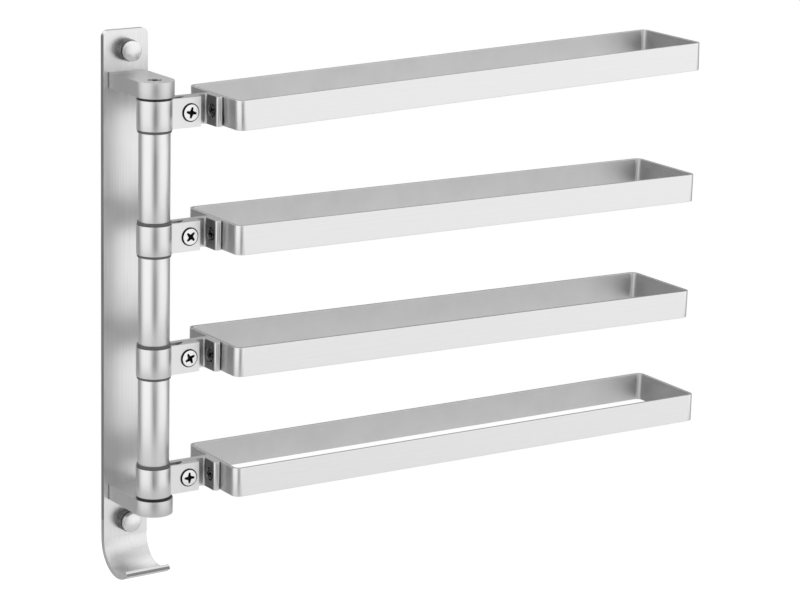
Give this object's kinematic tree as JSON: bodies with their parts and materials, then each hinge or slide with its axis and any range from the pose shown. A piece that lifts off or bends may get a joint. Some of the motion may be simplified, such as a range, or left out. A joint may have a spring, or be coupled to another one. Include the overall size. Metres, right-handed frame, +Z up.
{
  "type": "swing arm towel bar",
  "caption": "Wall-mounted towel bar: flat loop rails swing on a vertical post held off a narrow wall plate that ends in a robe hook.",
  "frame": {"origin": "on the back of the wall plate, midway between the two wall holes", "axes": "+Z up, +X along the wall to the right, +Y into the wall; the part faces -Y"},
  "size_m": [0.4053, 0.0787, 0.336],
  "materials": {
    "plate": "fine vertical brushing, satin",
    "supports": "satin",
    "rod": "ground",
    "tubes": "satin anodised",
    "cap_bases": "straight knurl",
    "caps": "polished",
    "brackets": "satin anodised",
    "bushes": "moulded nylon",
    "bright_screws": "bright plated",
    "steel_screws": "plain",
    "rails": "satin, fine lengthwise brushing"
  },
  "bodies": {
    "root": {"wall_plate": "plate", "upper_support": "supports", "lower_support": "supports", "support_screws_upper": "steel_screws", "support_screws_lower": "steel_screws", "pivot_rod": "rod", "rod_screw_upper": "steel_screws", "rod_screw_lower": "steel_screws", "spacer_tube_1": "tubes", "spacer_tube_2": "tubes", "spacer_tube_3": "tubes", "cap_base_upper": "cap_bases", "cap_base_lower": "cap_bases", "screw_cap_upper": "caps", "screw_cap_lower": "caps"},
    "arm_1": {"swing_bracket_1": "brackets", "pivot_bushes_1": "bushes", "clamp_screw_1": "bright_screws", "rail_screw_1": "steel_screws", "rail_nut_1": "steel_screws", "towel_rail_1": "rails"},
    "arm_2": {"swing_bracket_2": "brackets", "pivot_bushes_2": "bushes", "clamp_screw_2": "bright_screws", "rail_screw_2": "steel_screws", "rail_nut_2": "steel_screws", "towel_rail_2": "rails"},
    "arm_3": {"swing_bracket_3": "brackets", "pivot_bushes_3": "bushes", "clamp_screw_3": "bright_screws", "rail_screw_3": "steel_screws", "rail_nut_3": "steel_screws", "towel_rail_3": "rails"},
    "arm_4": {"swing_bracket_4": "brackets", "pivot_bushes_4": "bushes", "clamp_screw_4": "bright_screws", "rail_screw_4": "steel_screws", "rail_nut_4": "steel_screws", "towel_rail_4": "rails"}
  },
  "joints": [
    {"name": "swing_1", "type": "hinge", "parent": "root", "child": "arm_1", "pos_m": [0, -0.038, 0.1135], "axis": [0, 0, -1], "range_deg": [0, 180]},
    {"name": "swing_2", "type": "hinge", "parent": "root", "child": "arm_2", "pos_m": [0, -0.038, 0.0385], "axis": [0, 0, -1], "range_deg": [0, 180]},
    {"name": "swing_3", "type": "hinge", "parent": "root", "child": "arm_3", "pos_m": [0, -0.038, -0.0365], "axis": [0, 0, -1], "range_deg": [0, 180]},
    {"name": "swing_4", "type": "hinge", "parent": "root", "child": "arm_4", "pos_m": [0, -0.038, -0.1115], "axis": [0, 0, -1], "range_deg": [-1.6, 178.4]}
  ]
}
